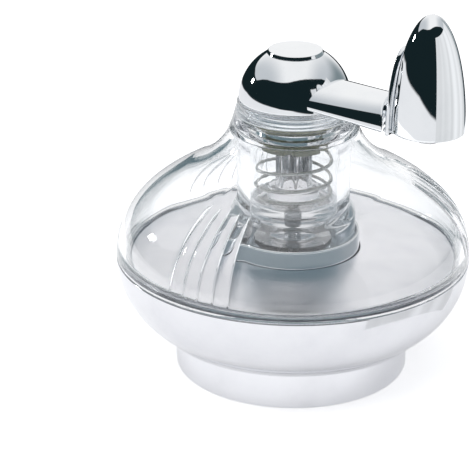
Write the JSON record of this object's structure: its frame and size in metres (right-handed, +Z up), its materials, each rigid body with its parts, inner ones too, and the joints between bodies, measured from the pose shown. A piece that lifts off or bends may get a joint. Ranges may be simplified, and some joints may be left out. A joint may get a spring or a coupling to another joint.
{
  "type": "mechanical nutmeg grater",
  "caption": "Hand-cranked nutmeg grater: clear storage body on a chrome base, side crank with an upright spinning knob, and a sprung plunger over a bladed grater disc.",
  "frame": {"origin": "centre of the foot ring's underside, on the table", "axes": "+Z up along the crank's axis; the crank points 40 degrees clockwise of +X at rest"},
  "size_m": [0.095, 0.095, 0.1068],
  "materials": {
    "chrome": "polished chrome plate",
    "deck": "bright plated deck, slightly soft",
    "steel": "plain stainless steel",
    "spring": "drawn spring wire",
    "clear": "clear moulded acrylic",
    "nylon": "natural nylon, slightly yellow"
  },
  "bodies": {
    "base": {"foot_ring": "chrome", "base_bowl": "chrome", "storage_deck": "deck", "chamber_cup": "chrome", "grater_disc": "steel", "foot_screw_1": "steel", "foot_screw_2": "steel", "foot_screw_3": "steel", "grater_screw_1": "steel", "grater_screw_2": "steel", "grater_screw_3": "steel"},
    "upper": {"clear_body": "clear", "bearing_washer": "nylon"},
    "crank": {"crank_handle": "chrome", "hub_cap": "chrome", "retaining_bush": "nylon", "knob_pin": "steel", "plunger_spring": "spring"},
    "knob": {"knob": "chrome", "knob_bush": "nylon"},
    "plunger": {"plunger": "clear", "claw_plate": "steel", "claw_screw": "steel", "stop_washer": "steel", "stop_screw": "steel"}
  },
  "joints": [
    {"name": "body_lift", "type": "slide", "parent": "base", "child": "upper", "axis": [0, 0, 1], "range_m": [0, 0.045]},
    {"name": "crank_turn", "type": "hinge", "parent": "upper", "child": "crank", "pos_m": [0, 0, 0.079], "axis": [0, 0, 1], "continuous": true},
    {"name": "knob_spin", "type": "hinge", "parent": "crank", "child": "knob", "pos_m": [0.03286, -0.02758, 0.0765], "axis": [0, 0, 1], "continuous": true},
    {"name": "plunger_lift", "type": "slide", "parent": "crank", "child": "plunger", "axis": [0, 0, 1], "range_m": [0, 0.0095], "stiffness_N_per_m": 300, "springref_m": -0.005, "deforming": ["plunger_spring"]}
  ]
}
